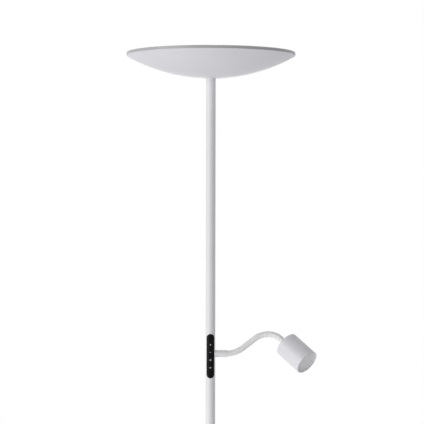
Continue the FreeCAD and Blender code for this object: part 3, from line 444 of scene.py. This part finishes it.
ink = Finish("white_ink", (0.62, 0.62, 0.63), (0.55, 0.55, 0.56), patch=1 * MM, grain=0.1 * MM,
             depth=0.003 * MM, roughness=0.55, spread=0.2, grain_shade=0.2)
printed_sign("sign_brighter", 1.5, [
    (straight((-sign_arm, 0), (-stroke / 2, 0)), stroke),
    (straight((stroke / 2, 0), (sign_arm, 0)), stroke),
    (straight((0, -sign_arm), (0, sign_arm)), stroke),
])
minus_stroke = 0.5
printed_sign("sign_dimmer", 0.5, [(straight((-sign_arm, 0), (sign_arm, 0)), minus_stroke)])
power_ring = 1.05
ring_stroke = 0.7
stem_low, stem_high = 0.1, 1.6
printed_sign("sign_power", -0.5, [
    (arc_points((0, 0), power_ring, 130, 410, steps=28), ring_stroke),
    (straight((0, stem_low), (0, stem_high)), stroke),
])
lid_radius = 3
lid_drop = 2
lid_stroke = 0.25
pupil_radius = 0.35
pupil_stroke = 0.5
printed_sign("sign_reading", -1.5, [
    (arc_points((0, -lid_drop), lid_radius, 45, 135), lid_stroke),
    (arc_points((0, lid_drop), lid_radius, 225, 315), lid_stroke),
    (arc_points((0, 0), pupil_radius, 5, 355), pupil_stroke),
])


# Neck. A flexible tube formed from steel strip, ribbed like a hose and painted, that stays where it is
# bent. It is made in short lengths of three ribs, and each has an open mouth that slides over a round
# collar, a zone of a ball, at the end of the length before it.

def ribbed_tube():
    """A tube along the given line, with narrow grooves between its ribs and none at its ends."""
    group, given, result = group_of("ribbed_tube", "GeometryNodeTree", {
        "Line": ("Geometry", None),
        "Rib Radius": ("Float", 5 * MM),
        "Groove Radius": ("Float", 4.3 * MM),
        "Ribs": ("Int", 3),
        "Sides": ("Int", 48),
        "Closed Ends": ("Bool", False),
        "Material": ("Material", None),
    }, {"Geometry": "Geometry"})
    ins = given.outputs
    groove_sharpness = 5.0
    line = put(group, "GeometryNodeMeshToCurve", Mesh=ins["Line"])
    upright = put(group, "GeometryNodeSetCurveNormal", {"mode": "Z_UP"}, Curve=line.outputs[0])
    along = put(group, "GeometryNodeSplineParameter")
    stored = put(group, "GeometryNodeStoreNamedAttribute", {"data_type": "FLOAT", "domain": "POINT"},
                 Geometry=upright.outputs[0], Name="along", Value=along.outputs["Factor"])
    place = put(group, "GeometryNodeInputPosition")
    centred = put(group, "GeometryNodeStoreNamedAttribute", {"data_type": "FLOAT_VECTOR", "domain": "POINT"},
                  Geometry=stored.outputs[0], Name="centre", Value=place.outputs[0])
    ring = put(group, "GeometryNodeCurvePrimitiveCircle", Resolution=ins["Sides"],
               Radius=ins["Rib Radius"])
    tube = put(group, "GeometryNodeCurveToMesh", Curve=centred.outputs[0],
               Profile_Curve=ring.outputs[0], Fill_Caps=ins["Closed Ends"])
    factor = put(group, "GeometryNodeInputNamedAttribute", {"data_type": "FLOAT"}, Name="along").outputs[0]
    centre = put(group, "GeometryNodeInputNamedAttribute", {"data_type": "FLOAT_VECTOR"}, Name="centre")
    phase = calc(group, "FRACT", calc(group, "MULTIPLY", factor, ins["Ribs"]))
    from_crest = calc(group, "ABSOLUTE", calc(group, "MULTIPLY_ADD", phase, 2.0, -1.0))
    from_middle = calc(group, "ABSOLUTE", calc(group, "SUBTRACT", factor, 0.5))
    inner_reach = calc(group, "SUBTRACT", 0.5, calc(group, "DIVIDE", 0.5, ins["Ribs"]))
    between_ribs = calc(group, "LESS_THAN", from_middle, inner_reach)
    drop = calc(group, "MULTIPLY", between_ribs, calc(group, "POWER", from_crest, groove_sharpness))
    depth = calc(group, "SUBTRACT", ins["Groove Radius"], ins["Rib Radius"])
    radius = calc(group, "MULTIPLY_ADD", drop, depth, ins["Rib Radius"])
    outward = combine(group, "SUBTRACT", place.outputs[0], centre.outputs[0])
    unit = put(group, "ShaderNodeVectorMath", {"operation": "NORMALIZE"}, Vector=outward)
    scaled = put(group, "ShaderNodeVectorMath", {"operation": "SCALE"}, Vector=unit.outputs[0], Scale=radius)
    moved = combine(group, "ADD", centre.outputs[0], scaled.outputs[0])
    shaped = put(group, "GeometryNodeSetPosition", Geometry=tube.outputs[0], Position=moved)
    grooved = put(group, "GeometryNodeStoreNamedAttribute", {"data_type": "FLOAT", "domain": "POINT"},
                  Geometry=shaped.outputs[0], Name="groove", Value=drop)
    smooth = put(group, "GeometryNodeSetShadeSmooth", Geometry=grooved.outputs[0])
    real = put(group, "GeometryNodeRealizeInstances", Geometry=smooth.outputs[0])
    coated = put(group, "GeometryNodeSetMaterial", Geometry=real.outputs[0], Material=ins["Material"])
    group.links.new(coated.outputs[0], result.inputs["Geometry"])
    return group


RIBBED_TUBE = ribbed_tube()


def walled(thing, wall, crease=60):
    """Gives an open tube an inner face and two rims, which keep their sharp edges."""
    outwards(thing)
    modifier = thing.modifiers.new("wall", "SOLIDIFY")
    modifier.thickness = wall
    modifier.offset = -1.0
    evaluated = thing.evaluated_get(bpy.context.evaluated_depsgraph_get())
    thing.data = bpy.data.meshes.new_from_object(evaluated)
    thing.modifiers.remove(modifier)
    thing.data.set_sharp_from_angle(angle=math.radians(crease))


def middle_of(node):
    """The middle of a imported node's box."""
    low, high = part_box(node)
    return (low + high) / 2


def eased_line(start, start_way, end, end_way, steps, first=0, last=1):
    """Points on a smooth bend that leaves start and reaches end in the two given directions. It may be
    cut, to run from its first to its last share."""
    reach = (end - start).length / 3
    corners = [start, start + start_way * reach, end - end_way * reach, end]
    points = []
    for step in range(steps + 1):
        share = first + (last - first) * step / steps
        row = corners
        while len(row) > 1:
            row = [low.lerp(high, share) for low, high in zip(row, row[1:])]
        points.append(row[0])
    return points


def lead_piece(name, line, body):
    """A length of the reading head's lead, which moves with a body."""
    radius = 1 * MM
    lead = grown(name, RIBBED_TUBE, line, Rib_Radius=radius, Groove_Radius=radius, Ribs=1, Sides=16,
                 Closed_Ends=True, Material=white_plastic.material)
    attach(lead, body)
    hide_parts("reading_lead")


# The neck's paint is lighter than the pole's white paint: painted light that makes up for the shade between
# the ribs.
neck_paint = Finish("neck_paint", (0.89, 0.888, 0.89), (0.86, 0.858, 0.86), patch=18 * MM, grain=0.6 * MM,
                    depth=0.004 * MM, roughness=0.45, spread=0.08)
# Painted shade: the grooves between the ribs are painted darker, where the ribs shade each other.
groove = put(neck_paint.tree, "ShaderNodeAttribute", {"attribute_name": "groove"})
groove_painted_shade = calc(neck_paint.tree, "MULTIPLY", groove.outputs["Fac"], 0.25)
neck_paint.tint(groove_painted_shade, (0.6, 0.6, 0.6))

joints = frame["joints"]
pivots = [Vector(joint["pos_m"]) for joint in joints]
collar_axis = Vector((1, 0, 0))
head_axis = (middle_of("head_diffuser") - pivots[-1]).normalized()
last_reach = 7.24 * MM
ferrule_face = pivots[-1] + head_axis * last_reach
stops = pivots + [ferrule_face]
chords = [(high - low).normalized() for low, high in zip(stops, stops[1:])]
ways = [(low + high).normalized() for low, high in zip([collar_axis] + chords, chords + [head_axis])]

rib_radius = 5 * MM
groove_radius = 4.4 * MM
ribs_each = 3
strip_wall = 0.35 * MM
mouth_gap = 0.95 * MM
bend_steps = 36
ball_radius = 4.7 * MM
ball_wall = 0.4 * MM
ball_bore = ball_radius - ball_wall
neck_sides = 48
zone = [math.radians(degrees) for degrees in range(-12, 29, 4)]
ball_corners = [(ball_radius * math.cos(turn), ball_radius * math.sin(turn)) for turn in zone]
ball_corners += [(ball_bore * math.cos(turn), ball_bore * math.sin(turn)) for turn in reversed(zone)]
for number, joint in enumerate(joints, start=1):
    here, there = stops[number - 1], stops[number]
    bend = (here, ways[number - 1], there, ways[number], bend_steps)
    opening = mouth_gap / (there - here).length
    ribbed = eased_line(*bend, first=opening, last=1 - opening if number < len(joints) else 1)
    cover = grown(f"neck_ribs_{number:02d}", RIBBED_TUBE, ribbed, Rib_Radius=rib_radius,
                  Groove_Radius=groove_radius, Ribs=ribs_each, Sides=neck_sides,
                  Material=neck_paint.material)
    walled(cover, strip_wall)
    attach(cover, joint["child"])
    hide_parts(f"neck_link_{number:02d}")
    lead_piece(f"reading_lead_{number:02d}", eased_line(*bend), joint["child"])

    ball = turned(f"neck_ball_{number:02d}", ball_corners, neck_sides, neck_paint.material)
    towards = ways[number - 1].to_track_quat("Z", "Y").to_matrix().to_4x4()
    ball.data.transform(Matrix.Translation(here) @ towards)
    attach(ball, joint["parent"])
    if number > 1:
        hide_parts(f"neck_link_{number - 1:02d}")


# Reading lead's two ends. Thin white leads: one from the touch board through the collar, and one from the
# neck to the lamp's board in the head.

lead_level = pivots[0].z
lead_side = 1.8 * MM
board_face = -3.6 * MM
turn_radius = 2 * MM
turn_steps = 12
board_end = Vector((lead_side, board_face, lead_level))
turn_start = Vector((lead_side, -turn_radius, lead_level))
turn_end = Vector((lead_side + turn_radius, 0, lead_level))
inwards = Vector((0, 1, 0))
lead_turn = eased_line(turn_start, inwards, turn_end, collar_axis, turn_steps)
lead_piece("reading_lead_pole", [board_end, *lead_turn, pivots[0]], "stand")
solder_gap = 0.8 * MM
board_back = middle_of("head_led_board") - head_axis * solder_gap
lead_piece("reading_lead_head", [ferrule_face, board_back], "reading_head")


# Reading head. A drawn steel can and its ferrule, in the pole's white paint made a little greyer: a painted
# shade that darkens the head. Inside are a turned aluminium disc with fins, a board with one light source
# under yellow silicone, and a metallised cone. A white snap ring holds the frosted window.

head_paint = Finish("head_paint", (0.757, 0.752, 0.795), (0.74, 0.735, 0.778), patch=30 * MM,
                    grain=0.9 * MM, depth=0.006 * MM, roughness=0.42, spread=0.08, Coat_Weight=0.08,
                    Coat_Roughness=0.25)
head_paint.on("head_shell", "head_ferrule")

# The ring is white moulded plastic, painted lighter than that as painted light, which lifts the shade in the
# window's recess.
snap_ring = Finish("white_ring", (0.9, 0.895, 0.92), (0.88, 0.875, 0.9), patch=12 * MM, grain=0.3 * MM,
                   depth=0.01 * MM, roughness=0.5, spread=0.15)
snap_ring.on("head_ring")

aluminium = Finish("turned_aluminium", (0.74, 0.745, 0.75), (0.68, 0.685, 0.69), patch=9 * MM,
                   grain=0.4 * MM, depth=0.01 * MM, roughness=0.32, spread=0.25, Metallic=1.0)
aluminium.on("head_heat_sink", "dish_plate")

lamp_board = Finish("white_board", (0.82, 0.82, 0.8), (0.78, 0.78, 0.76), patch=9 * MM, grain=0.3 * MM,
                    depth=0.008 * MM, roughness=0.35, spread=0.15)
lamp_board.on("head_led_board", "dish_led_board")

phosphor = Finish("yellow_silicone", (0.85, 0.62, 0.14), (0.8, 0.55, 0.1), patch=1 * MM, grain=0.1 * MM,
                  depth=0.02 * MM, roughness=0.45, spread=0.2, grain_shade=0.25)
phosphor.on("head_led_chip", "dish_led_chips")

mirror = Finish("metallised_plastic", (0.82, 0.82, 0.82), (0.8, 0.8, 0.8), patch=8 * MM, grain=1.5 * MM,
                depth=0.01 * MM, roughness=0.12, spread=0.1, Metallic=1.0)
mirror.on("head_reflector")

frosted = Finish("frosted_window", (0.82, 0.815, 0.845), (0.8, 0.795, 0.825), patch=12 * MM,
                 grain=0.35 * MM, depth=0.03 * MM, roughness=0.6, spread=0.15, grain_shade=0.08)
frosted.on("head_diffuser")


# Dish. A bowl spun from thin sheet over a ball-shaped block, with its rim rolled outwards to a small bead.
# White powder paint, a little greyer than the pole's. A nut inside clamps its flat middle to the pole.

def ball_arc(first, last, radius, centre, steps):
    """Points at even radii on the lower side of a ball whose centre is on the axis, as radius and height."""
    spread = [first + (last - first) * step / steps for step in range(steps + 1)]
    return [(reach, centre - math.sqrt(radius ** 2 - reach ** 2)) for reach in spread]


dish_paint = Finish("dish_paint", (0.77, 0.761, 0.806), (0.756, 0.747, 0.791), patch=60 * MM,
                    grain=0.9 * MM, depth=0.006 * MM, roughness=0.55, spread=0.08,
                    Specular_IOR_Level=0.2)
bowl_low, bowl_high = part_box("dish_shell")
bowl_wall = 1.2 * MM
bowl_flat = 10 * MM
bowl_hole = 5.2 * MM
bead = 0.8 * MM
arc_steps = 56
bowl_steps = 160
rim = bowl_high.x - bead
bowl_depth = bowl_high.z - 2 * bead - bowl_low.z
block_middle = bowl_low.z + (rim ** 2 + bowl_depth ** 2 - bowl_flat ** 2) / (2 * bowl_depth)
block_radius = math.hypot(block_middle - bowl_low.z, bowl_flat)
outside = ball_arc(bowl_flat, rim, block_radius, block_middle, arc_steps)
inside = ball_arc(rim - bowl_wall, bowl_flat, block_radius - bowl_wall, block_middle, arc_steps)
bead_turns = [math.radians(degrees) for degrees in range(-72, 73, 18)]
bead_level = bowl_high.z - bead
rolled = [(rim + bead * math.cos(turn), bead_level + bead * math.sin(turn)) for turn in bead_turns]
bowl = turned("dish_bowl", [
    (bowl_hole, bowl_low.z),
    *outside,
    *rolled,
    (rim, bowl_high.z),
    (rim - bowl_wall, bowl_high.z),
    *inside,
    (bowl_hole, inside[-1][1]),
], bowl_steps, dish_paint.material)
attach(bowl, "stand")
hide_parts("dish_shell")


# Dish cover. A lid of opal acrylic that lies on the bowl's rim and sends the light up. Its sawn edge is
# painted grey: a painted shade for the dim band that the edge shows.

opal = Finish("opal_acrylic", (0.84, 0.845, 0.85), (0.82, 0.825, 0.83), patch=60 * MM, grain=0.6 * MM,
              depth=0.006 * MM, roughness=0.38, spread=0.1)
level_place = combine(opal.tree, "MULTIPLY", opal.place, (1, 1, 0))
from_axis = put(opal.tree, "ShaderNodeVectorMath", {"operation": "LENGTH"}, Vector=level_place)
edge_start = 138.4 * MM
edge_full = 139.6 * MM
# Painted shade: the lid is painted grey from the edge's start radius out to its full radius.
painted_edge_shade = put(opal.tree, "ShaderNodeMapRange", Value=from_axis.outputs["Value"], From_Min=edge_start,
           From_Max=edge_full)
opal.tint(painted_edge_shade.outputs[0], (0.455, 0.455, 0.46))
opal.on("dish_diffuser")


# Room. A pale floor that fades into a white background, and even light all round. A large soft lamp stands
# at the front left, and weak ones shine up from the floor, from behind and down on the dish.

def pale_floor():
    """A pale, slightly mottled floor. It fades out with distance, and from below it isn't seen at all."""
    material = bpy.data.materials.new("pale_floor")
    material.use_nodes = True
    tree = material.node_tree
    shader = tree.nodes["Principled BSDF"]
    place = put(tree, "ShaderNodeTexCoord").outputs["Object"]
    mottled = put(tree, "ShaderNodeTexNoise", Vector=place, Scale=3.0, Detail=3.0)
    tone = put(tree, "ShaderNodeMapRange", Value=mottled.outputs["Fac"], To_Min=0.84, To_Max=0.88)
    tree.links.new(tone.outputs[0], shader.inputs["Base Color"])
    shader.inputs["Roughness"].default_value = 0.8
    shader.inputs["Emission Color"].default_value = (1, 1, 1, 1)
    distance = put(tree, "ShaderNodeVectorMath", {"operation": "LENGTH"}, Vector=place)
    fade = put(tree, "ShaderNodeMapRange", {"interpolation_type": "SMOOTHSTEP"},
               Value=distance.outputs["Value"], From_Min=0.5, From_Max=2.4)
    seen = put(tree, "ShaderNodeLightPath").outputs["Is Camera Ray"]
    glow = 0.3
    tree.links.new(calc(tree, "MULTIPLY", seen, glow), shader.inputs["Emission Strength"])
    below = put(tree, "ShaderNodeNewGeometry").outputs["Backfacing"]
    gone = calc(tree, "MULTIPLY", seen, calc(tree, "MAXIMUM", fade.outputs[0], below))
    clear = put(tree, "ShaderNodeBsdfTransparent")
    mixed = put(tree, "ShaderNodeMixShader", Fac=gone)
    tree.links.new(shader.outputs[0], mixed.inputs[1])
    tree.links.new(clear.outputs[0], mixed.inputs[2])
    tree.links.new(mixed.outputs[0], tree.nodes["Material Output"].inputs["Surface"])
    return material


floor_sides = 96
under_foot = 0.116
floor_edge = 2.5
floor_level = -0.1 * MM
floor_points = []
for radius in (under_foot, floor_edge):
    for side in range(floor_sides):
        turn = math.tau * side / floor_sides
        floor_points.append((radius * math.cos(turn), radius * math.sin(turn), floor_level))
floor_faces = []
for side in range(floor_sides):
    after = (side + 1) % floor_sides
    floor_faces.append((side, side + floor_sides, after + floor_sides, after))
floor_data = bpy.data.meshes.new("floor")
floor_data.from_pydata(floor_points, [], floor_faces)
floor_data.materials.append(pale_floor())
floor = bpy.data.objects.new("floor", floor_data)
bpy.context.scene.collection.objects.link(floor)

world = bpy.data.worlds.new("studio")
bpy.context.scene.world = world
world.use_nodes = True
sky = world.node_tree
path = put(sky, "ShaderNodeLightPath").outputs
shown = calc(sky, "MAXIMUM", path["Is Camera Ray"],
             calc(sky, "MAXIMUM", path["Is Glossy Ray"], path["Is Transmission Ray"]))
level = put(sky, "ShaderNodeMapRange", Value=shown, To_Min=0.42, To_Max=1.0)
background = sky.nodes["Background"]
background.inputs["Color"].default_value = (1, 1, 1, 1)
sky.links.new(level.outputs[0], background.inputs["Strength"])

for name, place, target, size, power in (
        ("soft_key", (-2.5, -1.85, 1.65), (0, 0, 1.4), 2.2, 40),
        ("floor_bounce", (-0.7, -0.45, 0.1), (-0.7, -0.45, 1.7), 1.2, 8.6),
        ("back_fill", (0, 3.4, 1.6), (0, 0, 1.3), 0.8, 17),
        ("dish_top", (0, 0, 2.3), (0, 0, 1.76), 0.12, 0.9)):
    lamp_data = bpy.data.lights.new(name, "AREA")
    lamp_data.size = size
    lamp_data.energy = power
    lamp = bpy.data.objects.new(name, lamp_data)
    lamp.location = place
    lamp.rotation_euler = (Vector(target) - Vector(place)).to_track_quat("-Z", "Y").to_euler()
    lamp.visible_camera = False
    bpy.context.scene.collection.objects.link(lamp)

bpy.context.scene.view_settings.view_transform = "Standard"
